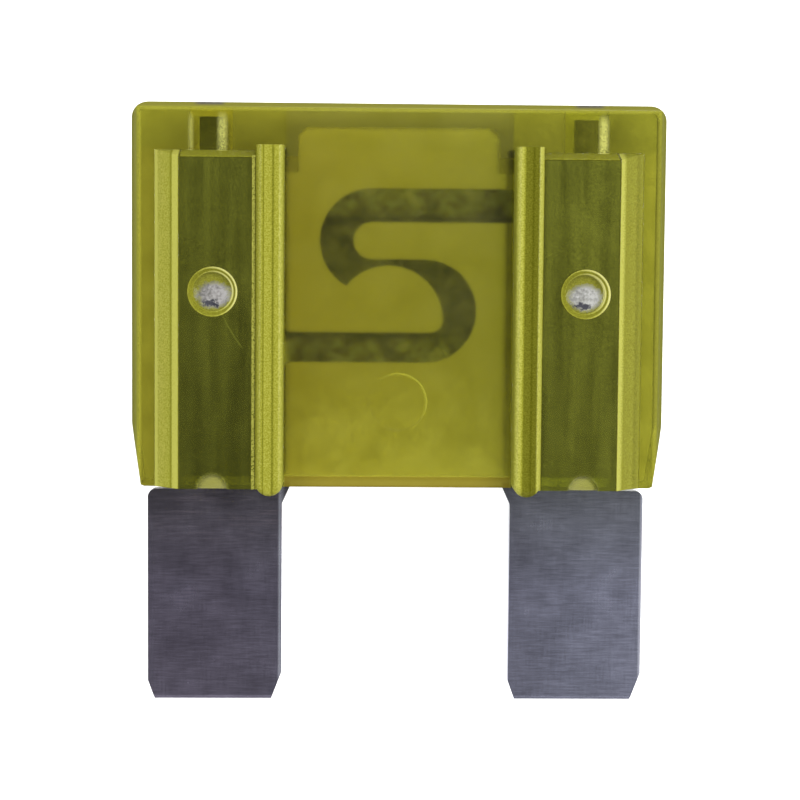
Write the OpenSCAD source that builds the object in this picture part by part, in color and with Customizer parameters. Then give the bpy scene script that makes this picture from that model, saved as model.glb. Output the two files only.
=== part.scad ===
// Automotive blade fuse, large size. A translucent moulded housing, open at the bottom, holds one
// stamped zinc strip: two blades, two test tabs and the S-shaped link that melts.
// The fuse lies on the ribs of its rear face. X runs across the blades, Y from the blade tips to the
// top of the housing, and Z through the thickness. The drawing below puts Y zero at the underside of
// the housing and Z zero in the middle of the strip; lay_down() moves both to the resting place.

/* [Housing] */
// Width of the housing over its side flanges
housing_w = 29.2; // [28.6:0.1:32]
// Height of the housing from its underside to its top
housing_h = 21; // [20.5:0.1:24]
// Thickness of the flat plate that carries the bulges
plate_t = 5; // [4.4:0.1:6]
// Thickness of the window wall in front of and behind the link
window_wall = 1.3; // [1:0.1:1.6]
// Thickness of the roof above the link cavity
roof_t = 1.26; // [0.8:0.02:2]
// Radius of the two top corners
corner_r = 0.95; // [0.35:0.05:1.2]
// Radius along the long edges of the plate
edge_r = 0.3; // [0.1:0.05:0.6]
// Height of the tapered part of each side
taper_h = 3.55; // [2:0.05:6]
// How far each side tapers in at the bottom
taper_in = 0.5; // [0.2:0.05:0.6]
// Width of the bevel at the two bottom corners
foot_bevel = 0.2; // [0.1:0.05:0.5]
// Height of the bevel at the two bottom corners
foot_bevel_h = 0.08; // [0.05:0.01:0.3]

/* [Bulges over the terminals] */
// Height of each bulge above the plate
bulge_rise = 1.3; // [0.8:0.1:2]
// Width of the sloped outer side of each bulge
bulge_slope = 1.4; // [0.8:0.1:1.5]
// How far the flat front of a bulge stops short of the outer edge of the strip
bulge_inset = 0.3; // [0:0.05:0.5]
// Distance from the top of the housing down to the bulges
bulge_drop = 2.6; // [2.2:0.1:4]
// Height of the bevel along the upper edge of each bulge
bulge_bevel = 0.38; // [0.1:0.02:0.8]

/* [Ribs] */
// Width of each rib
rib_w = 1.5; // [1.2:0.1:2]
// Distance of the ribs from the middle of the fuse
rib_x = 7.01; // [6.95:0.01:7.3]
// Radius along the two upper edges of a rib
rib_r = 0.35; // [0.1:0.05:0.5]
// Height of the flat rib crest above the bulge
rib_rise = 0.5; // [0.2:0.1:0.8]
// Distance from the top of the housing down to the ribs
rib_drop = 2.35; // [1.5:0.05:3]
// How far the ribs reach below the underside
rib_foot = 0.35; // [0:0.05:0.8]

/* [Link cavity] */
// Width of the cavity around the link
cavity_w = 12.6; // [12.2:0.1:12.8]
// Width of the narrower upper end of the cavity
cavity_top_w = 11.1; // [9:0.1:11.8]
// Distance from the top of the housing to the step between the two widths
cavity_step = 3.7; // [2.6:0.1:4.2]
// Bevel at the upper corners of the cavity
cavity_bevel = 0.45; // [0.1:0.05:0.9]

/* [Details of the moulding] */
// Clearance between the strip and the slot that holds it, on each face
slot_gap = 0.05; // [0.02:0.01:0.15]
// Clearance at the edges and the upper end of the strip
slot_end_gap = 0.1; // [0.05:0.05:0.3]
// How much the mouth of the slot opens on each side
mouth_flare = 0.3; // [0.1:0.05:0.5]
// Height of the flared mouth
mouth_h = 0.5; // [0.2:0.05:1]
// Width of each test opening in the top
probe_w = 2.4; // [1.8:0.1:3]
// Depth of each test opening through the thickness
probe_t = 1.3; // [1:0.1:2]
// Diameter of the stake recess under its rim, where the punch pressed the wall in
stake_d = 2.15; // [1.9:0.05:2.4]
// Diameter of the bevelled rim of the stake recess
stake_rim_d = 2.7; // [2.5:0.1:3]
// Depth of the stake recess at the edge of its floor
stake_depth = 0.6; // [0.4:0.05:1.2]
// How far the floor of the stake recess is dished
stake_dish = 0.2; // [0.1:0.05:0.4]
// Distance of the stakes from the middle of the fuse
stake_x = 10.12; // [9.8:0.02:10.4]
// Distance from the top of the housing down to the stakes
stake_drop = 10.27; // [7:0.01:13]
// Diameter of the peg that the punch formed through the strip
peg_d = 1.7; // [1.3:0.1:2]
// Clearance between the peg and the hole in the strip
peg_gap = 0.05; // [0.02:0.01:0.15]
// Diameter of the round ejector mark on the window
mark_d = 3.1; // [2:0.1:3.6]
// Height of the ejector mark above the underside
mark_y = 4.7; // [3:0.1:6]
// Depth of the ejector mark
mark_depth = 0.15; // [0.05:0.01:0.3]
// Radius of the half-round gate recess at the foot of each bulge
gate_r = 0.8; // [0.5:0.05:1]
// Depth of the gate recess
gate_depth = 0.3; // [0.1:0.05:0.6]

/* [Stamped strip] */
// Thickness of the strip at the blades
strip_t = 0.8; // [0.7:0.05:1]
// Thickness of the link where the strip is coined
link_t = 0.45; // [0.3:0.05:0.65]
// Width of each blade
blade_w = 7.5; // [7:0.1:8]
// Length of the blades below the housing
blade_l = 12.3; // [10:0.1:15]
// Gap between the two blades
blade_gap = 12.8; // [12.7:0.1:13.2]
// Width of the bevel at the left corner of each blade
tip_left_w = 0.38; // [0.2:0.02:1.5]
// Height of the bevel at the left corner of each blade
tip_left_h = 1.05; // [0.6:0.05:2]
// Width of the bevel at the right corner of each blade
tip_right_w = 0.57; // [0.2:0.02:1.5]
// Height of the bevel at the right corner of each blade
tip_right_h = 1.5; // [0.6:0.05:2]
// Depth of the lead bevel on each face of the tips
tip_lead = 0.12; // [0.05:0.01:0.3]
// Height of the lead bevel on each face of the tips
tip_lead_h = 0.2; // [0.1:0.05:2]
// Radius of the outer shoulder of each blade
shoulder_r = 0.45; // [0.2:0.05:0.6]
// Distance from the underside of the housing down to the shoulder
shoulder_drop = 0.4; // [0.1:0.05:0.8]
// How far the inner lug stands out from the blade
lug_w = 0.45; // [0.1:0.05:0.7]
// Height of the straight edge of the inner lug
lug_edge = 0.2; // [0.1:0.05:0.4]
// Distance from the underside of the housing down to the foot of the inner lug
lug_h = 1.2; // [0.9:0.05:1.6]
// Width of the strip inside the housing
body_w = 5.85; // [5.4:0.05:6]
// Distance from the top of the housing down to the upper end of the strip
body_drop = 2.96; // [2.7:0.02:4]
// Width of the test tabs
tab_w = 1.27; // [0.9:0.01:1.6]
// Distance of the test tabs from the middle of the fuse
tab_x = 10.35; // [9.8:0.05:10.6]
// Distance from the top of the housing down to the test tabs
tab_drop = 0.73; // [0.2:0.01:1.5]

/* [Link] */
// Width of the upper bar and of the first bend
bar_w = 1.87; // [1.5:0.01:2]
// Inner radius of the first bend
bend_in_r = 1.03; // [0.8:0.01:1.2]
// Middle of the first bend across the fuse
bend_a_x = -1.45; // [-1.8:0.05:-1.1]
// Distance from the top of the housing down to the middle of the first bend
bend_a_drop = 7.46; // [7.3:0.02:7.6]
// Outer radius of the second bend
bend_b_r = 2.87; // [2.7:0.01:3]
// Middle of the second bend across the fuse
bend_b_x = 1.5; // [1.2:0.05:1.8]
// Width of the neck, where the link melts
neck_w = 0.35; // [0.25:0.01:0.5]
// Radius of the round cut-out below the neck
cutout_r = 3.04; // [2.9:0.01:3.2]
// Middle of the cut-out across the fuse
cutout_x = -0.51; // [-0.7:0.01:-0.3]
// Width of the lower bar
low_bar_w = 1.67; // [1.4:0.01:1.9]
// Length over which the ends of the link thicken to the terminals
ramp_l = 0.75; // [0.3:0.05:0.8]
// Radius in the corner between the cut-out and the lower bar
cutout_fillet = 0.7; // [0.4:0.05:0.9]
// Radius where the lower bar joins its terminal
root_r = 0.55; // [0.2:0.05:0.9]

/* [Hidden] */
$fn = 64;
eps = 0.01;
past = 1;

plate_z = plate_t / 2;
bulge_z = plate_z + bulge_rise;
crest_z = bulge_z + rib_rise;
cavity_t = plate_t - 2 * window_wall;
slot_t = strip_t + 2 * slot_gap;

terminal_in = blade_gap / 2;
terminal_out = terminal_in + body_w;
body_top = housing_h - body_drop;
slot_half_w = terminal_out + slot_end_gap;
slot_top = body_top + slot_end_gap;
bulge_front_x = terminal_out - bulge_inset;
bulge_base_x = bulge_front_x + bulge_slope;
bulge_top = housing_h - bulge_drop;
stake_y = housing_h - stake_drop;

// The neck hangs below the first bend, and the cut-out and the second bend follow from it
bend_a_y = housing_h - bend_a_drop;
neck_top = bend_a_y - bend_in_r;
cutout_y = neck_top - neck_w - cutout_r;
bend_b_y = neck_top - bend_b_r;
low_bar_top = bend_b_y - bend_b_r + low_bar_w;
fillet_y = low_bar_top + cutout_fillet;
fillet_x = cutout_x + sqrt(pow(cutout_r - cutout_fillet, 2) - pow(fillet_y - cutout_y, 2));

plastic = [0.62, 0.6, 0.2, 0.75];
zinc = [0.5, 0.5, 0.55];

// From the drawing's zeros to the middle of the outline, resting on the rear ribs
module lay_down() translate([0, (blade_l - housing_h) / 2, crest_z]) children();

// The same shape on both sides of the fuse
module both_sides() for (side = [0, 1]) mirror([side, 0, 0]) children();

// The same shape on the front and the rear face
module both_faces() for (face = [0, 1]) mirror([0, 0, face]) children();

// A prism that runs along Y, from a section drawn with X across and Y as the thickness
module along_y(low, high) translate([0, high, 0]) rotate([90, 0, 0]) linear_extrude(high - low) children();

// A prism that runs along X, from a profile drawn with the thickness across and the height upwards
module along_x(width) translate([width / 2, 0, 0]) rotate([0, -90, 0]) linear_extrude(width) children();

// Rectangle about the origin with four round corners
module round_rect(w, h, r) {
    square([w - 2 * r, h], center = true);
    square([w, h - 2 * r], center = true);
    for (x = [-1, 1], y = [-1, 1]) translate([x * (w / 2 - r), y * (h / 2 - r)]) circle(r);
}

// Front view of the plate: round top corners, straight sides, tapered and bevelled foot
module plate_outline() {
    half = housing_w / 2;
    translate([-half, taper_h]) square([housing_w, housing_h - taper_h - corner_r]);
    translate([-half + corner_r, taper_h]) square([housing_w - 2 * corner_r, housing_h - taper_h]);
    for (x = [-1, 1]) translate([x * (half - corner_r), housing_h - corner_r]) circle(corner_r);
    foot = half - taper_in;
    polygon([
        [-half, taper_h + eps], [-foot, foot_bevel_h], [-foot + foot_bevel, 0],
        [foot - foot_bevel, 0], [foot, foot_bevel_h], [half, taper_h + eps]
    ]);
}

// Flat plate of the housing: the outline with its long edges and its top edges rounded
module plate() intersection() {
    translate([0, 0, -plate_z]) linear_extrude(plate_t) plate_outline();
    along_y(-past, housing_h + past) round_rect(housing_w, plate_t, edge_r);
    along_x(housing_w + 2 * past) plate_profile();
}

// Side profile of the plate, with the two upper edges rounded
module plate_profile() {
    translate([-plate_z, -past]) square([plate_t, housing_h + past - edge_r]);
    translate([-plate_z + edge_r, -past]) square([plate_t - 2 * edge_r, housing_h + past]);
    for (x = [-1, 1]) translate([x * (plate_z - edge_r), housing_h - edge_r]) circle(edge_r);
}

// Bulge over one terminal: flat front, sloped outer side and bevelled upper edge
module bulge() intersection() {
    along_y(0, bulge_top) polygon([
        [rib_x, 0], [bulge_base_x, 0], [bulge_base_x, plate_z],
        [bulge_front_x, bulge_z], [rib_x, bulge_z]
    ]);
    along_x(housing_w + past) polygon([
        [0, -past], [bulge_z, -past], [bulge_z, bulge_top - bulge_bevel],
        [plate_z, bulge_top], [0, bulge_top]
    ]);
}

// Section of a rib: it stands on the window wall, and its crest is flat between two round edges
module rib_section() {
    edge_x = rib_w / 2 - rib_r;
    translate([-rib_w / 2, window_wall]) square([rib_w, crest_z - rib_r - window_wall]);
    translate([-edge_x, window_wall]) square([2 * edge_x, crest_z - window_wall]);
    for (x = [-edge_x, edge_x]) translate([x, crest_z - rib_r]) circle(rib_r);
}

// Rib with a square upper end and a half-round lower end
module rib() translate([rib_x, 0, 0]) {
    low = -rib_foot + rib_w / 2;
    along_y(low, housing_h - rib_drop) rib_section();
    translate([0, low, 0]) rotate_extrude() intersection() {
        rib_section();
        square([rib_w, crest_z + past]);
    }
}

// Cavity around the link, narrower at its upper end, where its corners are bevelled
module link_cavity() translate([0, 0, -cavity_t / 2]) linear_extrude(cavity_t) {
    step_y = housing_h - cavity_step;
    top_y = housing_h - roof_t;
    top_half = cavity_top_w / 2;
    translate([-cavity_w / 2, -past]) square([cavity_w, step_y + past]);
    polygon([
        [-top_half, step_y - eps], [top_half, step_y - eps],
        [top_half, top_y - cavity_bevel], [top_half - cavity_bevel, top_y],
        [-top_half + cavity_bevel, top_y], [-top_half, top_y - cavity_bevel]
    ]);
}

// Slot for the strip, open at the bottom, with a flared mouth and the two pegs left standing in it
module strip_slot() {
    difference() {
        translate([-slot_half_w, -past, -slot_t / 2]) cube([2 * slot_half_w, slot_top + past, slot_t]);
        both_sides() translate([stake_x, stake_y, -past]) cylinder(d = peg_d, h = 2 * past);
    }
    along_x(2 * slot_half_w) polygon([
        [-slot_t / 2 - mouth_flare, -past], [slot_t / 2 + mouth_flare, -past], [slot_t / 2 + mouth_flare, 0],
        [slot_t / 2, mouth_h], [-slot_t / 2, mouth_h], [-slot_t / 2 - mouth_flare, 0]
    ]);
}

// Test opening from the slot to the top of the housing
module probe_opening() translate([tab_x - probe_w / 2, slot_top - eps, -probe_t / 2])
    cube([probe_w, housing_h - slot_top + past, probe_t]);

// Stake recess in the front and the rear face: a bevelled rim, a short wall and a dished floor
module stake_recess() translate([stake_x, stake_y, 0]) both_faces() {
    rim = (stake_rim_d - stake_d) / 2;
    floor_z = bulge_z - stake_depth;
    r = stake_d / 2;
    ball_r = (r * r + stake_dish * stake_dish) / (2 * stake_dish);
    translate([0, 0, floor_z]) cylinder(d = stake_d, h = stake_depth + past);
    translate([0, 0, bulge_z - rim]) cylinder(d1 = stake_d, d2 = stake_rim_d + 2 * past, h = rim + past);
    intersection() {
        translate([0, 0, floor_z - stake_dish + ball_r]) sphere(ball_r);
        translate([0, 0, floor_z - past]) cylinder(d = stake_d, h = past + eps);
    }
}

// Half-round gate recess in the front face, at the foot of a bulge
module gate_recess() translate([stake_x, 0, bulge_z - gate_depth])
    cylinder(r = gate_r, h = gate_depth + past);

// Housing: one moulding with walls, bulges, ribs and openings
module housing() color(plastic) lay_down() difference() {
    union() {
        plate();
        both_faces() both_sides() { bulge(); rib(); }
    }
    link_cavity();
    strip_slot();
    both_sides() { probe_opening(); stake_recess(); gate_recess(); }
    translate([0, mark_y, plate_z - mark_depth]) cylinder(d = mark_d, h = past);
}

// One blade with its shoulder, lug and bevelled corners, the terminal above it and its test tab.
// Each bevel is given as its width and height.
module terminal_outline(inner_bevel, outer_bevel) {
    inner = terminal_in;
    outer = terminal_in + blade_w;
    shoulder_x = outer - shoulder_r;
    shoulder_y = -shoulder_drop - shoulder_r;
    polygon([
        [inner, -lug_h], [inner, -blade_l + inner_bevel.y], [inner + inner_bevel.x, -blade_l],
        [outer - outer_bevel.x, -blade_l], [outer, -blade_l + outer_bevel.y], [outer, shoulder_y],
        [shoulder_x, shoulder_y], [shoulder_x, -shoulder_drop], [inner + body_w, -shoulder_drop],
        [inner + body_w, 0], [inner - lug_w, 0], [inner - lug_w, -lug_edge]
    ]);
    translate([shoulder_x, shoulder_y]) circle(shoulder_r);
    translate([inner, -eps]) square([body_w, body_top + eps]);
    translate([tab_x - tab_w / 2, body_top - eps]) square([tab_w, body_drop - tab_drop + eps]);
}

// Side profile of the strip, which thins to a lead bevel at the blade tips
module strip_profile() {
    half = strip_t / 2;
    polygon([
        [-half + tip_lead, -blade_l], [half - tip_lead, -blade_l], [half, -blade_l + tip_lead_h],
        [half, housing_h], [-half, housing_h], [-half, -blade_l + tip_lead_h]
    ]);
}

// Terminal with the hole for its peg
module terminal(inner_bevel, outer_bevel) difference() {
    intersection() {
        translate([0, 0, -strip_t / 2]) linear_extrude(strip_t) terminal_outline(inner_bevel, outer_bevel);
        along_x(housing_w + past) strip_profile();
    }
    translate([stake_x, stake_y, -past]) cylinder(d = peg_d + 2 * peg_gap, h = 2 * past);
}

// The S: upper bar, first bend, neck, second bend and lower bar
module link_outline() {
    bend_out_r = bend_in_r + bar_w;
    difference() {
        union() {
            translate([bend_a_x, bend_a_y]) circle(bend_out_r);
            translate([bend_a_x, bend_a_y + bend_in_r]) square([terminal_in - bend_a_x + eps, bar_w]);
            translate([bend_a_x, bend_b_y]) square([bend_b_x - bend_a_x, bend_b_r]);
            translate([bend_b_x, bend_b_y]) circle(bend_b_r);
        }
        translate([bend_a_x, bend_a_y]) circle(bend_in_r);
        translate([bend_a_x, neck_top]) square([terminal_in, 2 * bend_in_r]);
        link_cutout();
        translate([-terminal_in, bend_b_y - 2 * bend_b_r]) square([terminal_in + bend_b_x, 2 * bend_b_r]);
    }
    translate([-terminal_in - eps, low_bar_top - low_bar_w])
        square([terminal_in + bend_b_x + eps, low_bar_w]);
    difference() {
        translate([cutout_x, low_bar_top - eps]) square([bend_b_x - cutout_x + bend_b_r / 2, cutout_fillet]);
        link_cutout();
        difference() {
            translate([cutout_x, low_bar_top - past]) square([2 * bend_b_r, 2 * past + cutout_fillet]);
            translate([bend_b_x, bend_b_y]) circle(bend_b_r);
            translate([cutout_x, low_bar_top - past])
                square([bend_b_x - cutout_x, 2 * past + cutout_fillet]);
        }
    }
    root_fillet(low_bar_top, 1);
    root_fillet(low_bar_top - low_bar_w, -1);
}

// Ramp at one end of the link, from its own thickness to that of the terminal on the right
module ramp(low, high) along_y(low, high) polygon([
    [terminal_in - ramp_l, -link_t / 2], [terminal_in + eps, -strip_t / 2],
    [terminal_in + eps, strip_t / 2], [terminal_in - ramp_l, link_t / 2]
]);

// Round cut-out above the lower bar, with its right-hand corner rounded
module link_cutout() {
    intersection() {
        translate([cutout_x, cutout_y]) circle(cutout_r);
        union() {
            translate([cutout_x - 2 * cutout_r, fillet_y]) square(4 * cutout_r);
            translate([cutout_x - 2 * cutout_r, low_bar_top])
                square([2 * cutout_r + fillet_x - cutout_x, 4 * cutout_r]);
            translate([fillet_x, fillet_y]) circle(cutout_fillet);
        }
    }
}

// Rounded corner between the lower bar and the edge of its terminal
module root_fillet(y, up) difference() {
    translate([-terminal_in - eps, y - (up > 0 ? eps : root_r)]) square([root_r + eps, root_r + eps]);
    translate([-terminal_in + root_r, y + up * root_r]) circle(root_r);
}

// Stamped strip: two terminals joined by the coined link
module fuse_element() color(zinc) lay_down() {
    left_bevel = [tip_left_w, tip_left_h];
    right_bevel = [tip_right_w, tip_right_h];
    terminal(left_bevel, right_bevel);
    mirror([1, 0, 0]) terminal(right_bevel, left_bevel);
    translate([0, 0, -link_t / 2]) linear_extrude(link_t) link_outline();
    ramp(bend_a_y + bend_in_r, bend_a_y + bend_in_r + bar_w);
    mirror([1, 0, 0]) ramp(low_bar_top - low_bar_w, low_bar_top);
}

housing();
fuse_element();
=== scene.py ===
import math

import bpy
import numpy as np
from mathutils import Matrix, Vector

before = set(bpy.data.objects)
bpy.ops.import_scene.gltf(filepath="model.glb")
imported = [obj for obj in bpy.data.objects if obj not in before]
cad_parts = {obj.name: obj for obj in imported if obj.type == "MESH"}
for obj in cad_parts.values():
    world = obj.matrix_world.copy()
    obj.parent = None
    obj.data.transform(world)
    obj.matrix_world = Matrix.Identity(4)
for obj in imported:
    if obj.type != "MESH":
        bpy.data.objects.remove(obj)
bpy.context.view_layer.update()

# A large automotive blade fuse: a translucent moulded housing around one stamped zinc strip.
# It lies on the ribs of its rear face, and the camera looks down on its front.

bl_info = {
    "name": "Automotive Blade Fuse",
    "version": (1, 0, 0),
    "blender": (4, 5, 0),
    "location": "3D View > Sidebar > Fuse",
    "description": "Finishes a large blade fuse on its fixed frame, with floor, light and camera",
    "category": "Object",
}

MM = 0.001


# Sizes and colours

class FusePlastic(bpy.types.PropertyGroup):
    """Finish of the translucent housing."""
    absorb: bpy.props.FloatVectorProperty(
        name="Absorption", default=(0.36, 0.365, 0.68), min=0.0, size=3,
        description="Light that a millimetre of the plastic takes out, for red, green and blue")
    tint: bpy.props.FloatVectorProperty(
        name="Tint", description="Colour that each surface gives", subtype="COLOR", default=(1.0, 0.98, 0.34),
        min=0.0, max=1.0)
    haze: bpy.props.FloatVectorProperty(
        name="Haze", description="Colour of the light that the cloudy places scatter", subtype="COLOR",
        default=(0.5, 0.49, 0.05), min=0.0, max=1.0)
    cloud: bpy.props.FloatProperty(
        name="Cloud", description="Share of haze in the clear faces", default=0.06, min=0.0, max=1.0)
    frost: bpy.props.FloatProperty(
        name="Frost", description="Strength of the haze on slopes, ribs and recesses", default=1.0, min=0.0,
        max=2.0)
    roughness: bpy.props.FloatProperty(
        name="Roughness", description="Roughness of the moulded faces", default=0.06, min=0.0, max=1.0)
    edge: bpy.props.FloatProperty(
        name="Edge radius", description="Radius of the moulded edges", default=0.12 * MM, min=0.0,
        unit="LENGTH", precision=5)


class FuseMetal(bpy.types.PropertyGroup):
    """Finish of the stamped zinc strip."""
    colour: bpy.props.FloatVectorProperty(
        name="Zinc", description="Colour of the zinc alloy", subtype="COLOR", default=(0.31, 0.30, 0.38),
        min=0.0, max=1.0)
    roughness: bpy.props.FloatProperty(
        name="Roughness", description="Roughness of the rolled faces", default=0.25, min=0.0, max=1.0)
    edge: bpy.props.FloatProperty(
        name="Edge radius", description="Radius that stamping leaves on the edges", default=0.12 * MM, min=0.0,
        unit="LENGTH", precision=5)


class FuseStage(bpy.types.PropertyGroup):
    """Floor, light and camera."""
    floor: bpy.props.FloatVectorProperty(
        name="Floor", description="Colour of the plain floor", subtype="COLOR", default=(0.86, 0.86, 0.86),
        min=0.0, max=1.0)
    glow: bpy.props.FloatProperty(
        name="Floor glow", description="Light that comes up through the floor, as on a light table",
        default=0.6, min=0.0)
    distance: bpy.props.FloatProperty(
        name="Camera distance", description="From the middle of the fuse to the camera", default=0.12,
        min=0.05, unit="LENGTH")
    tent: bpy.props.FloatProperty(
        name="Tent", description="Brightness of the light tent", default=1.1, min=0.0)
    opening: bpy.props.FloatProperty(
        name="Opening", description="Share of light in the opening over the camera", default=0.05, min=0.0,
        max=1.0)
    wall: bpy.props.FloatProperty(
        name="Wall", description="Share of light low down in the tent", default=0.25, min=0.0, max=1.0)
    lean_right: bpy.props.FloatProperty(
        name="Lean right", description="How much brighter the right side of the tent is", default=0.25)
    lean_top: bpy.props.FloatProperty(
        name="Lean top", description="How much brighter the side over the housing's top is", default=0.1)
    focal_px: bpy.props.FloatProperty(
        name="Focal length", description="In pixels of the 800-pixel frame", default=2138.0, min=500.0)


# Shader maths

class Wire:
    """A value socket that adds Math nodes when it stands in an expression."""

    def __init__(self, shader, socket):
        self.shader = shader
        self.socket = socket

    def math(self, operation, *values):
        inputs = dict(enumerate((self, *values)))
        return self.shader.node("ShaderNodeMath", {"operation": operation}, inputs)

    def __add__(self, other):
        return self.math("ADD", other)

    def __sub__(self, other):
        return self.math("SUBTRACT", other)

    def __rsub__(self, other):
        return self.shader.node("ShaderNodeMath", {"operation": "SUBTRACT"}, {0: other, 1: self})

    def __mul__(self, other):
        return self.math("MULTIPLY", other)

    def __abs__(self):
        return self.math("ABSOLUTE")

    def __gt__(self, other):
        return self.math("GREATER_THAN", other)

    def __lt__(self, other):
        return self.math("LESS_THAN", other)

    __radd__ = __add__
    __rmul__ = __mul__


class Shader:
    """The node tree of one material, or of the world."""

    def __init__(self, tree, output):
        self.tree = tree
        self.tree.nodes.clear()
        self.output = self.tree.nodes.new(output)

    def node(self, kind, settings=None, inputs=None, out=0):
        """Adds a node: its settings first, then the values or links of its sockets. Returns one output."""
        made = self.tree.nodes.new(kind)
        for key, value in (settings or {}).items():
            if key == "stops":
                while len(made.color_ramp.elements) < len(value):
                    made.color_ramp.elements.new(0.5)
                for element, (place, colour) in zip(made.color_ramp.elements, value):
                    element.position = place
                    element.color = (*colour, 1.0)
            else:
                setattr(made, key, value)
        for key, value in (inputs or {}).items():
            socket = self.socket(made.inputs, key)
            if isinstance(value, Wire):
                self.tree.links.new(value.socket, socket)
            elif socket.type == "RGBA" and len(value) == 3:
                socket.default_value = (*value, 1.0)
            else:
                socket.default_value = value
        return Wire(self, self.socket(made.outputs, out))

    @staticmethod
    def socket(group, key):
        """A socket by its number, its identifier or its name."""
        if isinstance(key, int):
            return group[key]
        for socket in group:
            if key in (socket.identifier, socket.name):
                return socket
        raise KeyError(key)

    def millimetres(self):
        """Object coordinates in millimetres."""
        coords = self.node("ShaderNodeTexCoord", out="Object")
        return self.scaled(coords, (1 / MM, 1 / MM, 1 / MM))

    def scaled(self, vector, scale):
        """A vector times one number for each axis."""
        return self.node("ShaderNodeVectorMath", {"operation": "MULTIPLY"}, {0: vector, 1: scale}, "Vector")

    def parts(self, vector):
        """The three numbers of a vector."""
        split = self.node("ShaderNodeSeparateXYZ", None, {"Vector": vector})
        return [Wire(self, output) for output in split.socket.node.outputs]

    def reach(self, first, second):
        """Distance from the middle of a round feature."""
        return (first * first + second * second).math("SQRT")

    def larger(self, first, *others):
        """The largest of two or more values."""
        rest = others[0] if len(others) == 1 else self.larger(*others)
        return first.math("MAXIMUM", rest)

    def span(self, value, low, high, to_low=0.0, to_high=1.0):
        """Carries a value from one range to another, kept inside the new one."""
        return self.node("ShaderNodeMapRange", {"clamp": True}, {
            "Value": value, "From Min": low, "From Max": high, "To Min": to_low, "To Max": to_high}, "Result")

    def band(self, value, low, high, soft):
        """One between two values, with soft ends."""
        half = soft / 2
        return (self.span(value, low - half, low + half)
                * self.span(value, high - half, high + half, 1.0, 0.0))

    def mixed(self, factor, first, second):
        """A number between two others."""
        return factor * (second - first) + first

    def noise(self, vector, scale, detail, rough):
        return self.node("ShaderNodeTexNoise", {"noise_dimensions": "3D"}, {
            "Vector": vector, "Scale": scale, "Detail": detail, "Roughness": rough}, "Fac")

    def ramp(self, value, stops):
        """A number that follows the given pairs of place and height."""
        greys = [(place, (height, height, height)) for place, height in stops]
        return self.node("ShaderNodeValToRGB", {"stops": greys}, {"Fac": value}, "Color")

    def mix(self, factor, first, second, blend="MIX"):
        """A colour between two others."""
        return self.node("ShaderNodeMix", {"data_type": "RGBA", "blend_type": blend}, {
            "Factor_Float": factor, "A_Color": first, "B_Color": second}, "Result_Color")

    def times(self, colour, other):
        """Two colours multiplied."""
        return self.mix(1.0, colour, other, "MULTIPLY")

    def grey(self, value):
        """A number as a colour."""
        return self.node("ShaderNodeCombineXYZ", None, {"X": value, "Y": value, "Z": value}, "Vector")

    def bump(self, height, strength, distance):
        return self.node("ShaderNodeBump", None, {
            "Height": height, "Strength": strength, "Distance": distance}, "Normal")

    def finish(self, surface, volume=None):
        """Joins the shaders to the output."""
        self.tree.links.new(surface.socket, self.output.inputs["Surface"])
        if volume:
            self.tree.links.new(volume.socket, self.output.inputs["Volume"])


def new_finish(name):
    """A new material and the wrapper of its node tree."""
    material = bpy.data.materials.new(name)
    material.use_nodes = True
    return material, Shader(material.node_tree, "ShaderNodeOutputMaterial")


def toned(colour, share):
    """A colour times one share, or times a share for each of red, green and blue."""
    return tuple(np.array(colour) * share)


# Meshes

JOIN_REACH = 0.001 * MM
FLAT_ANGLE = math.radians(0.5)
EDGE_ANGLE = math.radians(25.0)
EDGE_SEGMENTS = 3
FACE_WEIGHT = 80


def dress(obj, material):
    obj.data.materials.clear()
    obj.data.materials.append(material)


def soften(obj, radius):
    """Joins the loose triangles of a CAD node and rounds its sharp edges."""
    join = obj.modifiers.new("Join", "WELD")
    join.merge_threshold = JOIN_REACH
    flat = obj.modifiers.new("Flat faces", "DECIMATE")
    flat.decimate_type = "DISSOLVE"
    flat.angle_limit = FLAT_ANGLE
    edge = obj.modifiers.new("Edges", "BEVEL")
    edge.width = radius
    edge.segments = EDGE_SEGMENTS
    edge.limit_method = "ANGLE"
    edge.angle_limit = EDGE_ANGLE
    edge.use_clamp_overlap = True
    normals = obj.modifiers.new("Normals", "WEIGHTED_NORMAL")
    normals.keep_sharp = False
    normals.weight = FACE_WEIGHT


def make_mesh(name, points, faces):
    mesh = bpy.data.meshes.new(name)
    mesh.from_pydata(points, [], faces)
    mesh.update()
    obj = bpy.data.objects.new(name, mesh)
    bpy.context.scene.collection.objects.link(obj)
    return obj


# Places of the fuse in millimetres, as in its solids: side is the distance from the middle of the fuse, lift
# the distance from the middle of the strip to either face, and rise the same toward the front alone. Two
# numbers are the ends of a stretch.

MID_Z = 4.3
UNDERSIDE_Y, TOP_Y = -4.35, 16.65
PLATE_LIFT = 2.5
BULGE_LIFT = (3.3, 3.5)
FACE_LIFT = (3.5, 3.9)
FACE_SIDES = (7.7, 11.9)
SLOPE_SIDES = (11.93, 13.42)
SLOPE_FALL = (11.95, 13.35)
BEVEL_Y = (13.62, 14.08)
RIB_SIDE, RIB_HALF, CREST_HALF = 7.01, 0.8, 0.75
LEFT_LINE_X = (-8.0, -7.81)
WINDOW_SIDE = 6.2
FLANGE_SIDES = (13.5, 14.4)
TAB_SIDE, TAB_TIP = 10.35, 14.95
MOUTH_HALF = 0.75
STAKE_SIDE, STAKE_Y, STAKE_RADIUS = 10.12, 6.38, 1.4
STAKE_OUTER_RING = (1.26, 1.36)
STAKE_INNER_RING = (1.04, 1.14)
MARK_Y, MARK_RADIUS = 0.35, 1.6
PAINTED_CRESCENT_RING = (1.48, 1.62)
STRIP_Y = (14.1, 16.1)
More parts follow.
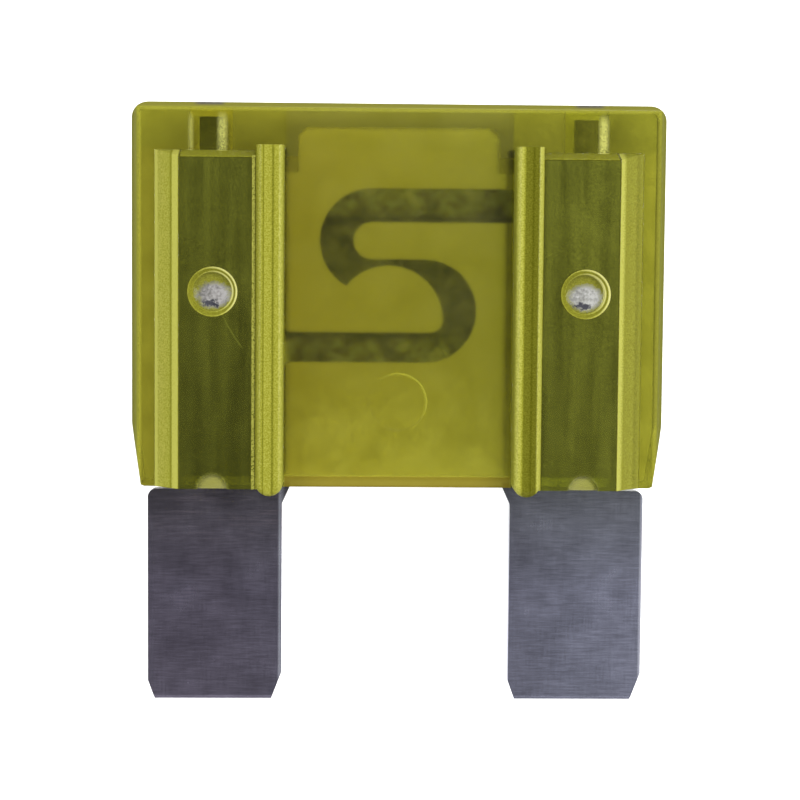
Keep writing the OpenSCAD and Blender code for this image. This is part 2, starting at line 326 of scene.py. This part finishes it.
STRIP_RIGHT_X, STRIP_LEFT_X, STRIP_FAR_LEFT_X = (10.9, 11.36), (-9.9, -9.42), (-11.5, -11.24)
FOOT_HEIGHT = 0.66
GATE_RADIUS, GATE_CORE = 1.0, 0.6
HEAD_Y = (13.9, 14.4)
WALL_SIDES, UPRIGHT_SIDES = (14.0, 14.35), (14.5, 14.56)
FRONT_EDGE_RISE = (2.05, 2.2)
BULGE_FRONT_RISE = (3.5, 3.6)
SCRATCH_LEFT, SCRATCH_TOP_Y = 9.6, 5.2
SCRATCH_OVER, SCRATCH_DOWN, SCRATCH_BEND = 0.42, 0.91, 0.05
SCRATCH_LENGTH, SCRATCH_HALF = 2.2, 0.03

# Painted light and shade across the slopes, from their inner to their outer edge, on the left and the right
# bulge
SLOPE_LEFT_PAINTED_LIGHT = [(0.0, 0.45), (0.08, 0.66), (0.24, 0.6), (0.3, 0.24), (0.38, 0.4), (0.84, 0.44), (0.9, 0.7)]
SLOPE_RIGHT_PAINTED_LIGHT = [(0.0, 0.5), (0.05, 0.62), (0.15, 0.52), (0.26, 0.29), (0.66, 0.31), (0.76, 0.24), (1.0, 0.33)]
# Painted light and shade across the ribs, from the left to the right of each crest, on the left and the right
# rib
RIB_LEFT_PAINTED_LIGHT = [(0.0, 0.28), (0.1, 0.34), (0.22, 0.34), (0.27, 0.14), (0.32, 0.46), (0.55, 0.44), (0.61, 0.2),
            (0.68, 0.44), (0.9, 0.48), (1.0, 0.34)]
RIB_RIGHT_PAINTED_LIGHT = [(0.0, 0.38), (0.08, 0.56), (0.26, 0.5), (0.34, 0.1), (0.8, 0.08), (0.86, 0.5), (0.96, 0.54),
             (1.0, 0.4)]
# Painted light and shade of the other frosted forms
BEVEL_PAINTED_LIGHT, LEFT_LINE_PAINTED_HIGHLIGHT, STAKE_PAINTED_LIGHT = 0.27, 0.75, 0.3

# Share of the light that each hazy place scatters
FROST_SHARE, STRIP_SHARE, GATE_SHARE, SCRATCH_SHARE = 0.9, 0.9, 0.36, 0.16
FOOT_SHARE, EDGE_SHADE_SHARE, UPRIGHT_SHARE, GREY_SHARE, MARK_SHARE = 0.85, 0.95, 0.4, 0.9, 0.03
# Patterns of the plastic: turns to the millimetre, detail and roughness
SPECKLE, PATCHES, MOTTLE, WAVES = (13.0, 1.0, 0.5), (0.45, 3.0, 0.55), (6.0, 1.0, 0.5), (0.35, 2.0, 0.5)
STREAK, STREAK_STRETCH = (1.0, 3.0, 0.6), (1.3, 0.1, 1.0)

# Colours of the light that the hazy places of the plastic scatter, some of them painted light, highlights and
# shade as marked
BULGE_HAZE = (0.46, 0.52, 0.07)
GATE_HAZE = (0.44, 0.42, 0.12)
FOOT_HAZE = (0.15, 0.12, 0.012)
# Painted shade, midtone and light of the frosted forms, picked by how bright each is drawn
FROST_PAINTED_SHADE, FROST_PAINTED_MIDTONE, FROST_PAINTED_LIGHT = (0.06, 0.06, 0.003), (0.205, 0.203, 0.02), (0.35, 0.345, 0.065)
# Painted highlight on the stake rings
RING_PAINTED_HIGHLIGHT = (0.62, 0.6, 0.22)
# Painted highlight beside the tabs
STRIP_PAINTED_HIGHLIGHT = (0.42, 0.42, 0.11)
ASH_LEFT, ASH_RIGHT = (0.12, 0.115, 0.11), (0.18, 0.18, 0.17)
SILVER_LEFT, SILVER_RIGHT = (0.28, 0.27, 0.27), (0.36, 0.36, 0.35)
# Painted shade: the darker rounded front edge along the sides and along the top
SIDE_EDGE_PAINTED_SHADE, TOP_EDGE_PAINTED_SHADE = (0.12, 0.12, 0.02), (0.14, 0.134, 0.022)
# Painted shade in the tops of the test openings
MOUTH_PAINTED_SHADE = (0.07, 0.065, 0.055)
FLECK_HAZE = (0.03, 0.03, 0.04)
# Tints of the clear plastic: the left and right side, and the two ends of the head
TINT_LEFT, TINT_RIGHT = (1.0, 0.945, 0.95), (0.965, 0.99, 1.0)
HEAD_LEFT, HEAD_RIGHT = (0.86, 0.84, 0.28), (0.75, 0.77, 0.27)
PLASTIC_IOR = 1.53


# Plastic

class HousingPlace:
    """Where a point of the housing lies, and the speckle and broad patches of the plastic there."""

    def __init__(self, s):
        self.point = s.millimetres()
        self.x, self.y, self.z = s.parts(self.point)
        self.rise = self.z - MID_Z
        self.side, self.lift = abs(self.x), abs(self.rise)
        self.sign = s.span(self.x, -0.1, 0.1, -1.0, 1.0)
        self.right = s.span(self.x, -12.0, 12.0)
        self.grain = s.noise(self.point, *SPECKLE)
        self.speck = s.span(self.grain, 0.3, 0.7)
        self.patch = s.span(s.noise(self.point, *PATCHES), 0.3, 0.7)
        self.raised = s.span(self.lift, PLATE_LIFT, PLATE_LIFT + 0.02)
        self.front = s.span(self.z, MID_Z + 1.5, MID_Z + 1.6)
        self.bulge = s.span(self.lift, *BULGE_LIFT)
        self.window = s.span(self.side, WINDOW_SIDE + 0.05, WINDOW_SIDE - 0.05)
        # The stakes: right and up from the middle of each, and the distance from it
        self.stake_x = self.x - STAKE_SIDE * self.sign
        self.stake_y = self.y - STAKE_Y
        self.stake_off = s.reach(self.side - STAKE_SIDE, self.stake_y)
        self.stake = s.span(self.stake_off, STAKE_RADIUS, STAKE_RADIUS - 0.06) * s.span(self.lift, 2.7, 2.8)


def frosted_forms(s, at):
    """Slopes, ribs, bevels and stakes: where they are, the painted light and shade that sets how bright they
    are, and where a painted highlight lies on the stake rings.
    """
    fall = s.span(at.side, *SLOPE_FALL)
    slope = s.band(at.side, *SLOPE_SIDES, 0.12) * at.raised
    across = s.span(at.sign * (at.side - RIB_SIDE), -CREST_HALF, CREST_HALF)
    rib = s.band(at.side, RIB_SIDE - RIB_HALF, RIB_SIDE + RIB_HALF, 0.06) * at.raised
    bevel = s.band(at.y, *BEVEL_Y, 0.06) * s.band(at.side, *FACE_SIDES, 0.1) * at.raised
    # A painted highlight: a bright line stands beside the left rib
    line = s.band(at.x, *LEFT_LINE_X, 0.06) * s.band(at.lift, *FACE_LIFT, 0.1) * (0.6 + 0.4 * at.speck)
    rings = s.larger(s.band(at.stake_off, *STAKE_OUTER_RING, 0.06),
                     s.band(at.stake_off, *STAKE_INNER_RING, 0.06)) * at.stake
    # Painted highlight on the stake rings, brighter toward the upper right
    to_light = at.stake_x + 0.4 * at.stake_y
    painted_ring_brightness = s.span(to_light, -0.6, 1.2, 0.34, 0.85)

    # Painted light and shade: how bright each frosted form is drawn
    level = slope * s.mixed(at.right, s.ramp(fall, SLOPE_LEFT_PAINTED_LIGHT), s.ramp(fall, SLOPE_RIGHT_PAINTED_LIGHT))
    level = s.larger(level, rib * s.mixed(at.right, s.ramp(across, RIB_LEFT_PAINTED_LIGHT), s.ramp(across, RIB_RIGHT_PAINTED_LIGHT)))
    level = s.larger(s.larger(level, bevel * BEVEL_PAINTED_LIGHT), line * LEFT_LINE_PAINTED_HIGHLIGHT, at.stake * STAKE_PAINTED_LIGHT,
                     rings * painted_ring_brightness)
    level = level * (0.76 + 0.48 * at.speck)
    frosted = s.larger(s.larger(slope, rib), bevel, line, at.stake * 0.9, rings)
    return frosted, level, rings * s.span(to_light, 0.2, 1.2)


def painted_opening_highlights(s, at):
    """Painted highlights: bright bands beside the tabs, standing for the light that the walls of the test
    openings catch.
    """
    strip = s.larger(s.band(at.x, *STRIP_RIGHT_X, 0.26),
                     0.75 * s.band(at.x, *STRIP_LEFT_X, 0.26),
                     0.5 * s.band(at.x, *STRIP_FAR_LEFT_X, 0.2))
    plate_face = s.band(at.lift, PLATE_LIFT - 0.2, PLATE_LIFT + 0.1, 0.1)
    return strip * s.band(at.y + 0.3 * at.speck, *STRIP_Y, 0.6) * plate_face * (0.5 + 0.5 * at.speck)


def ejector_mark(s, at):
    """The round mark on the window, with a painted highlight along its upper right edge."""
    off_y = at.y - MARK_Y
    off = s.reach(at.x, off_y)
    # Painted highlight: a bright arc on the rim, brighter toward the upper right
    painted_crescent = s.band(off, *PAINTED_CRESCENT_RING, 0.08) * s.span(at.x + 0.6 * off_y, -0.6, 1.6, 0.06, 0.3)
    return (s.span(off, MARK_RADIUS, MARK_RADIUS - 0.1) * MARK_SHARE + painted_crescent) * at.front


def window_foot(s, at):
    """The golden-brown band at the foot of the window."""
    low = s.span(at.y, UNDERSIDE_Y + FOOT_HEIGHT, UNDERSIDE_Y + FOOT_HEIGHT - 0.1)
    return low * s.span(at.side, WINDOW_SIDE + 0.1, WINDOW_SIDE) * at.front


def gates(s, at):
    """The half-round gate recesses at the foot of the bulges, with a ragged edge."""
    off = s.reach(at.side - STAKE_SIDE, at.y - UNDERSIDE_Y)
    return s.span(off + 0.4 * (at.grain - 0.5), GATE_RADIUS, GATE_CORE) * s.span(at.lift, 3.3, 3.4)


def plate_edges(s, at):
    """The plate's rounded front edge and its part along the top, darkened with painted shade, the painted shade
    at the tops of the test openings there, and the upright walls.
    """
    front_edge = s.span(at.rise, *FRONT_EDGE_RISE)
    top = s.span(at.y, TOP_Y - 0.5, TOP_Y - 0.22)
    over_tab = s.band(at.side, TAB_SIDE - MOUTH_HALF, TAB_SIDE + MOUTH_HALF, 0.3)
    mouth_shade = over_tab * s.span(at.y, TOP_Y - 0.22, TOP_Y - 0.1) * front_edge
    wall = s.larger(s.span(at.side, *WALL_SIDES), top) * front_edge
    upright = s.larger(s.span(at.side, *UPRIGHT_SIDES), s.span(at.y, TOP_Y - 0.1, TOP_Y - 0.04))
    return wall, top, mouth_shade, upright


def scratch_mark(s, at):
    """A fine scratch, slightly bent, that runs down to the right from the left stake."""
    from_x, from_y = at.x + SCRATCH_LEFT, at.y - SCRATCH_TOP_Y
    along = from_x * SCRATCH_OVER - from_y * SCRATCH_DOWN
    off_line = from_x * SCRATCH_DOWN + from_y * SCRATCH_OVER - SCRATCH_BEND * along * along
    line = s.band(off_line, -SCRATCH_HALF, SCRATCH_HALF, SCRATCH_HALF) * s.band(along, 0.0, SCRATCH_LENGTH, 0.3)
    return line * s.span(at.rise, *BULGE_FRONT_RISE)


def stake_patch(s, at):
    """The grey patch on the floor of each stake: its place, its tone and its dark fleck."""
    mottle = s.noise(at.point, *MOTTLE)
    off = s.reach((at.stake_x - 0.04) * 1.02, (at.stake_y + 0.2) * 1.3)
    grey = s.span(off + 0.5 * (mottle - 0.5), 1.04, 0.72) * s.span(at.stake_off, 1.08, 1.0) * at.stake
    fleck_off = s.reach(at.stake_x + 0.14, (at.stake_y + 0.7) * 2.0)
    fleck = s.span(fleck_off + 0.9 * (mottle - 0.5), 0.55, 0.3) * grey
    return grey, s.span(mottle + 0.25 * at.stake_x, 0.3, 0.7), fleck


def cloudiness(s, at, look):
    """Haze of the clear faces: least in the window, more to the right, and more on the flanges, where the extra
    is painted light that lightens them.
    """
    flange = s.band(at.side, *FLANGE_SIDES, 0.2)
    low = s.span(at.y, 3.0, -3.0)
    streak = s.span(s.noise(s.scaled(at.point, STREAK_STRETCH), *STREAK), 0.3, 0.7)
    # Painted light: extra haze on the flanges lightens them
    outside = 0.9 + 0.7 * at.right + 0.3 * flange
    amount = s.mixed(at.window, outside, 0.4 + 1.5 * low) + at.bulge * s.span(at.y, -2.0, 8.0, 0.0, 0.5)
    pattern = s.mixed(at.bulge, 0.5 + at.patch, 0.55 + 0.3 * at.patch + 0.6 * streak)
    return look.cloud * amount * pattern * (0.8 + 0.4 * at.speck)


def plastic_tint(s, at, look):
    """Colour of the clear plastic: warmer to the left, and greyer toward the two ends of the head."""
    head = s.span(at.y, *HEAD_Y)
    tint = s.mix(at.patch, toned(look.tint, 0.94), tuple(look.tint))
    tint = s.times(tint, s.mix(at.right, TINT_LEFT, TINT_RIGHT))
    return s.mix(head * s.span(at.side, 7.0, 13.0, 0.15, 1.0), tint, s.mix(at.right, HEAD_LEFT, HEAD_RIGHT))


def plastic_finish(look):
    """Translucent yellow moulding: clear faces coloured by their thickness, cloudy and frosted in places."""
    material, s = new_finish("housing_plastic")
    at = HousingPlace(s)
    frosted, level, ring_highlight_mask = frosted_forms(s, at)
    painted_strip_highlights = painted_opening_highlights(s, at)
    foot = window_foot(s, at)
    gate = gates(s, at)
    wall, top, mouth_shade, upright = plate_edges(s, at)
    grey, ash, fleck = stake_patch(s, at)

    # Share of light that is scattered, where the rest goes through
    frost = (frosted * FROST_SHARE + painted_strip_highlights * STRIP_SHARE + ejector_mark(s, at) + gate * GATE_SHARE
             + scratch_mark(s, at) * SCRATCH_SHARE)
    share = s.larger(cloudiness(s, at, look), frost * look.frost)
    share = s.larger(share, foot * FOOT_SHARE, wall * EDGE_SHADE_SHARE)
    share = s.larger(share, upright * UPRIGHT_SHARE)
    share = s.larger(share, grey * GREY_SHARE)

    # Colour of the scattered light, with painted light, highlights and shade laid into it
    haze = s.mix(at.speck, toned(look.haze, 0.82), toned(look.haze, 1.12))
    haze = s.mix(at.bulge * 0.6, haze, BULGE_HAZE)
    haze = s.mix(gate * 0.8, haze, GATE_HAZE)
    haze = s.mix(foot, haze, FOOT_HAZE)
    # Painted light and shade of the frosted forms, and the painted highlight on the stake rings
    painted_frost_tone = s.mix(s.span(level, 0.1, 0.34), FROST_PAINTED_SHADE, FROST_PAINTED_MIDTONE)
    painted_frost_tone = s.mix(s.span(level, 0.34, 0.58), painted_frost_tone, FROST_PAINTED_LIGHT)
    haze = s.mix(frosted > 0.2, haze, s.mix(ring_highlight_mask, painted_frost_tone, RING_PAINTED_HIGHLIGHT))
    haze = s.mix(painted_strip_highlights > 0.1, haze, STRIP_PAINTED_HIGHLIGHT)
    ashen = s.mix(ash, s.mix(at.right, ASH_LEFT, ASH_RIGHT), s.mix(at.right, SILVER_LEFT, SILVER_RIGHT))
    haze = s.mix(grey, haze, ashen)
    # Painted shade on the rounded front edge and in the tops of the test openings
    haze = s.mix(wall, haze, s.mix(top, SIDE_EDGE_PAINTED_SHADE, TOP_EDGE_PAINTED_SHADE))
    haze = s.mix(mouth_shade * 0.85, haze, MOUTH_PAINTED_SHADE)
    haze = s.mix(fleck, haze, FLECK_HAZE)

    waves = s.bump(s.noise(at.point, *WAVES), 0.35, 0.05 * MM)
    clear = s.node("ShaderNodeBsdfPrincipled", None, {
        "Base Color": plastic_tint(s, at, look), "Transmission Weight": 1.0, "IOR": PLASTIC_IOR,
        "Specular IOR Level": 0.06, "Roughness": look.roughness + 0.05 * at.patch + 0.12 * at.window,
        "Normal": waves}, "BSDF")
    hazy = s.node("ShaderNodeBsdfPrincipled", None, {
        "Base Color": haze, "IOR": PLASTIC_IOR, "Specular IOR Level": 0.0,
        "Roughness": 0.35 + 0.2 * at.speck, "Normal": waves}, "BSDF")
    absorb = np.array(look.absorb) / MM
    density = float(absorb.max())
    volume = s.node("ShaderNodeVolumeAbsorption", None, {
        "Color": tuple(1.0 - absorb / density), "Density": density}, "Volume")
    s.finish(s.node("ShaderNodeMixShader", None, {0: share, 1: clear, 2: hazy}, "Shader"), volume)
    return material


# Zinc

# Tones of the zinc as shares of its colour: bare blades and covered terminals, shaded on the left and lit on
# the right as painted light and shade, and the link
BARE_SHADED_LEFT, BARE_LIT_RIGHT = (0.76, 0.71, 0.76), (0.92, 0.98, 1.02)
TERMINAL_SHADED_LEFT, TERMINAL_LIT_RIGHT = (0.7, 0.85, 0.7), (0.8, 1.0, 0.8)
LINK_TONE = (0.36, 0.4, 0.38)
# Painted shade that darkens the blades near the housing, a painted highlight on their right edges, and the
# colour of the fine scratches
HOUSING_PAINTED_SHADE = (0.78, 0.8, 0.7)
EDGE_PAINTED_HIGHLIGHT = (0.8, 0.82, 0.95)
SCRATCH_COLOUR = (0.45, 0.38, 0.45)
# Rolled lines in each direction, the soft streaks of the terminals and the scratches: turns of the pattern
# to the millimetre on each axis
LINES_ALONG, LINES_ACROSS = (11.0, 0.9, 11.0), (0.9, 11.0, 11.0)
STREAKS, SCRATCHES = (1.1, 0.12, 1.0), (0.5, 9.0, 1.0)
# Places of the strip in millimetres
LINK_SHADOW_UPPER_Y, LINK_SHADOW_LOWER_Y = (10.1, 10.5), (3.85, 4.6)
UPPER_BAR_Y, LOWER_BAR_Y = (10.4, 11.2), (3.9, 3.4)
RIGHT_BLADE_EDGE_X, LEFT_BLADE_EDGE_X = (13.72, 13.84), (-6.58, -6.2)
SCRATCHED_Y = (UNDERSIDE_Y - 3.2, UNDERSIDE_Y - 0.6)


def link_shade(s, place, x, y):
    """Painted light and shade of the link: blotches, two painted lines of shadow, and painted light toward the
    top of the upper bar and the bottom of the lower bar.
    """
    blotch = s.span(s.noise(place, 0.9, 4.0, 0.6), 0.35, 0.65, 0.4, 2.2)
    shadow = s.larger(s.band(y, *LINK_SHADOW_UPPER_Y, 0.15),
                      s.band(y, *LINK_SHADOW_LOWER_Y, 0.3) * s.span(x, 2.2, 1.8))
    # Painted light toward the outer edge of each bar
    lit_bar_edges = s.larger(s.span(y, *UPPER_BAR_Y), s.span(y, *LOWER_BAR_Y))
    return blotch * (1.0 - 0.5 * shadow) * (1.0 + lit_bar_edges)


def zinc_finish(look):
    """Rolled zinc: fine crossed lines, cloudy patches, and a tone that goes from violet to blue, painted darker
    on the left and lighter on the right.
    """
    material, s = new_finish("zinc_strip")
    place = s.millimetres()
    x, y, _ = s.parts(place)
    grain = (s.noise(s.scaled(place, LINES_ALONG), 1.0, 3.0, 0.7) * 0.3
             + s.noise(s.scaled(place, LINES_ACROSS), 1.0, 3.0, 0.7) * 0.7)
    cloud = s.noise(place, 0.4, 4.0, 0.6)
    right = s.span(x, -10.0, 10.0)
    covered = s.span(y, UNDERSIDE_Y - 0.1, UNDERSIDE_Y + 0.1)
    bare = 1.0 - covered
    terminal = s.span(abs(x), WINDOW_SIDE, WINDOW_SIDE + 0.3)
    link = 1.0 - terminal

    # Colours of the blades, the terminals and the link; blades and terminals painted darker on the left and
    # lighter on the right
    blades = s.mix(right, toned(look.colour, BARE_SHADED_LEFT), toned(look.colour, BARE_LIT_RIGHT))
    terminals = s.mix(right, toned(look.colour, TERMINAL_SHADED_LEFT), toned(look.colour, TERMINAL_LIT_RIGHT))
    colour = s.mix(covered, blades, s.mix(terminal, toned(look.colour, LINK_TONE), terminals))
    # Painted shade: the bare blades darken toward the housing
    housing_shade = s.span(y, UNDERSIDE_Y - 6.0, UNDERSIDE_Y - 0.5)
    colour = s.times(colour, s.mix(housing_shade * bare, (1.0, 1.0, 1.0), HOUSING_PAINTED_SHADE))

    # Light and dark: rolled lines everywhere, streaks on the terminals, painted light and shade on the link,
    # and painted shade at the end of the right tab
    shade = s.span(grain, 0.36, 0.64, 0.78, 1.22) * s.span(cloud, 0.3, 0.7, 0.92, 1.08)
    streaks = s.span(s.noise(s.scaled(place, STREAKS), 1.0, 2.0, 0.5), 0.35, 0.65, 0.75, 1.25)
    shade = shade * s.mixed(covered, 1.0, link_shade(s, place, x, y) * link + terminal * streaks)
    # Painted shade: the end of the tab darkens, more toward the right
    tip_shade = s.span(y + 0.8 * (cloud - 0.5), TAB_TIP - 0.1, TAB_TIP + 0.1) * terminal
    shade = shade * (1.0 - 0.3 * tip_shade * right)
    colour = s.times(colour, s.grey(shade))

    # Painted highlights along the right edges of the blades, and fine scratches over the top of the left one
    edges = s.larger(s.span(x, *RIGHT_BLADE_EDGE_X), s.band(x, *LEFT_BLADE_EDGE_X, 0.1) * terminal) * bare
    colour = s.mix(edges * 0.8, colour, EDGE_PAINTED_HIGHLIGHT)
    scored = s.span(s.noise(s.scaled(place, SCRATCHES), 1.0, 2.0, 0.6), 0.55, 0.7)
    scored = scored * s.band(y, *SCRATCHED_Y, 0.8) * s.span(x, -4.0, -6.0)
    colour = s.mix(scored * 0.35, colour, SCRATCH_COLOUR)

    s.finish(s.node("ShaderNodeBsdfPrincipled", None, {
        "Base Color": colour, "Metallic": 1.0 - 0.6 * covered * link - 0.3 * covered * terminal,
        "Roughness": look.roughness + s.span(cloud, 0.3, 0.7, -0.01, 0.03),
        "Normal": s.bump(grain * bare, 0.25, 0.01 * MM)}, "BSDF"))
    return material


# Stage

FLOOR_HALF = 1.5
FLOOR_CORNERS = [(-FLOOR_HALF, -FLOOR_HALF, 0), (FLOOR_HALF, -FLOOR_HALF, 0), (FLOOR_HALF, FLOOR_HALF, 0),
                 (-FLOOR_HALF, FLOOR_HALF, 0)]

# Name, place in metres, power in watts and colour of each round lamp. All aim at the fuse.
LAMPS = [
    ("key_right", (0.24, 0.04, 0.30), 1.0, (1.0, 1.0, 1.0)),
    ("fill_left", (-0.26, 0.03, 0.28), 0.8, (0.97, 0.98, 1.0)),
    ("key_top", (0.06, 0.19, 0.34), 0.6, (1.0, 1.0, 1.0)),
]
LAMP_SIZE = 0.20

# The dark opening of the tent: its direction, the angle where it is fully dark and the one where it ends.
# The wall of the tent brightens between two heights. All angles are in degrees.
OPENING_AT = (-0.08, 0.05, 1.0)
OPENING_DARK = 16.0
OPENING_ENDS = 30.0
WALL_LOW, WALL_HIGH = 4.0, 32.0

# The camera stands a little beyond the housing's top and a little to its left. Angles are in degrees, the
# target is in millimetres, and the shift is in pixels of the photograph's frame.
CAMERA_PITCH, CAMERA_TURN, CAMERA_LEAN = 4.47, -1.55, 0.48
CAMERA_TARGET = (0.0, 0.35, MID_Z)
CAMERA_SHIFT = (3.33, -1.3)
PHOTO_SIZE = 800
SENSOR_WIDTH = 36.0


def floor_finish(look):
    material, s = new_finish("pale_floor")
    s.finish(s.node("ShaderNodeBsdfPrincipled", None, {
        "Base Color": tuple(look.floor), "Roughness": 1.0, "Specular IOR Level": 0.0,
        "Emission Color": (1.0, 1.0, 1.0), "Emission Strength": look.glow}, "BSDF"))
    return material


def area_lamp(name, place, power, colour):
    data = bpy.data.lights.new(name, "AREA")
    data.shape = "DISK"
    data.size = LAMP_SIZE
    data.energy = power
    data.color = colour
    lamp = bpy.data.objects.new(name, data)
    lamp.location = place
    lamp.rotation_euler = Vector(place).to_track_quat("Z", "Y").to_euler()
    bpy.context.scene.collection.objects.link(lamp)


def sky(look):
    """A light tent: bright all round and dark overhead, where the camera looks in through its opening."""
    world = bpy.data.worlds.new("studio")
    world.use_nodes = True
    s = Shader(world.node_tree, "ShaderNodeOutputWorld")
    direction = s.node("ShaderNodeTexCoord", out="Generated")
    east, north, height = s.parts(direction)
    near = s.node("ShaderNodeVectorMath", {"operation": "DOT_PRODUCT"}, {
        0: direction, 1: tuple(Vector(OPENING_AT).normalized())}, "Value")
    opening = s.span(near, math.cos(math.radians(OPENING_ENDS)), math.cos(math.radians(OPENING_DARK)),
                     1.0, look.opening)
    wall = s.span(height, math.sin(math.radians(WALL_LOW)), math.sin(math.radians(WALL_HIGH)), look.wall, 1.0)
    lean = wall * (1.0 + east * look.lean_right + north * look.lean_top)
    s.finish(s.node("ShaderNodeBackground", None, {
        "Color": (1.0, 1.0, 1.0), "Strength": opening * lean * look.tent}, "Background"))
    bpy.context.scene.world = world


def camera(look):
    """Looks down on the front of the fuse at the photograph's viewing angle."""
    pitch, turn, lean = (math.radians(angle) for angle in (CAMERA_PITCH, CAMERA_TURN, CAMERA_LEAN))
    near = Vector((math.sin(turn) * math.cos(pitch), math.sin(pitch), math.cos(turn) * math.cos(pitch)))
    level = Vector((math.cos(turn), 0.0, -math.sin(turn)))
    up = near.cross(level)
    right = level * math.cos(lean) + up * math.sin(lean)
    over = up * math.cos(lean) - level * math.sin(lean)
    data = bpy.data.cameras.new("camera")
    data.sensor_fit = "HORIZONTAL"
    data.sensor_width = SENSOR_WIDTH
    data.lens = look.focal_px / PHOTO_SIZE * SENSOR_WIDTH
    data.shift_x, data.shift_y = (shift / PHOTO_SIZE for shift in CAMERA_SHIFT)
    data.clip_start = MM
    cam = bpy.data.objects.new("camera", data)
    cam.matrix_world = Matrix((right, over, near)).transposed().to_4x4()
    cam.location = Vector(CAMERA_TARGET) * MM + near * look.distance
    bpy.context.scene.collection.objects.link(cam)
    bpy.context.scene.camera = cam


# Operators

class FUSE_OT_housing(bpy.types.Operator):
    """Rounds the edges of the housing and gives it its plastic"""
    bl_idname = "fuse.housing"
    bl_label = "Housing"

    def execute(self, context):
        look = context.scene.fuse_plastic
        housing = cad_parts["housing"]
        soften(housing, look.edge)
        dress(housing, plastic_finish(look))
        return {"FINISHED"}


class FUSE_OT_element(bpy.types.Operator):
    """Rounds the stamped edges of the strip and gives it its zinc"""
    bl_idname = "fuse.element"
    bl_label = "Fuse element"

    def execute(self, context):
        look = context.scene.fuse_metal
        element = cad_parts["fuse_element"]
        soften(element, look.edge)
        dress(element, zinc_finish(look))
        return {"FINISHED"}


class FUSE_OT_stage(bpy.types.Operator):
    """Lays the floor, hangs the soft lamps and sets the camera"""
    bl_idname = "fuse.stage"
    bl_label = "Stage"

    def execute(self, context):
        look = context.scene.fuse_stage
        floor = make_mesh("floor", FLOOR_CORNERS, [(0, 1, 2, 3)])
        dress(floor, floor_finish(look))
        for lamp in LAMPS:
            area_lamp(*lamp)
        sky(look)
        camera(look)
        context.scene.view_settings.view_transform = "Standard"
        return {"FINISHED"}


class FUSE_PT_panel(bpy.types.Panel):
    """Lists the steps that finish the fuse"""
    bl_idname = "FUSE_PT_panel"
    bl_label = "Blade Fuse"
    bl_space_type = "VIEW_3D"
    bl_region_type = "UI"
    bl_category = "Fuse"

    def draw(self, context):
        scene = context.scene
        for group, operator in (("fuse_plastic", "fuse.housing"), ("fuse_metal", "fuse.element"),
                                ("fuse_stage", "fuse.stage")):
            box = self.layout.box()
            settings = getattr(scene, group)
            for name in settings.__annotations__:
                box.prop(settings, name)
            box.operator(operator)


GROUPS = {"fuse_plastic": FusePlastic, "fuse_metal": FuseMetal, "fuse_stage": FuseStage}
CLASSES = (FusePlastic, FuseMetal, FuseStage, FUSE_OT_housing, FUSE_OT_element, FUSE_OT_stage, FUSE_PT_panel)


def register():
    for cls in CLASSES:
        bpy.utils.register_class(cls)
    for name, group in GROUPS.items():
        setattr(bpy.types.Scene, name, bpy.props.PointerProperty(type=group))


def unregister():
    for name in GROUPS:
        delattr(bpy.types.Scene, name)
    for cls in reversed(CLASSES):
        bpy.utils.unregister_class(cls)


def main():
    register()
    bpy.ops.fuse.stage()
    bpy.ops.fuse.element()
    bpy.ops.fuse.housing()


if __name__ == "__main__":
    main()
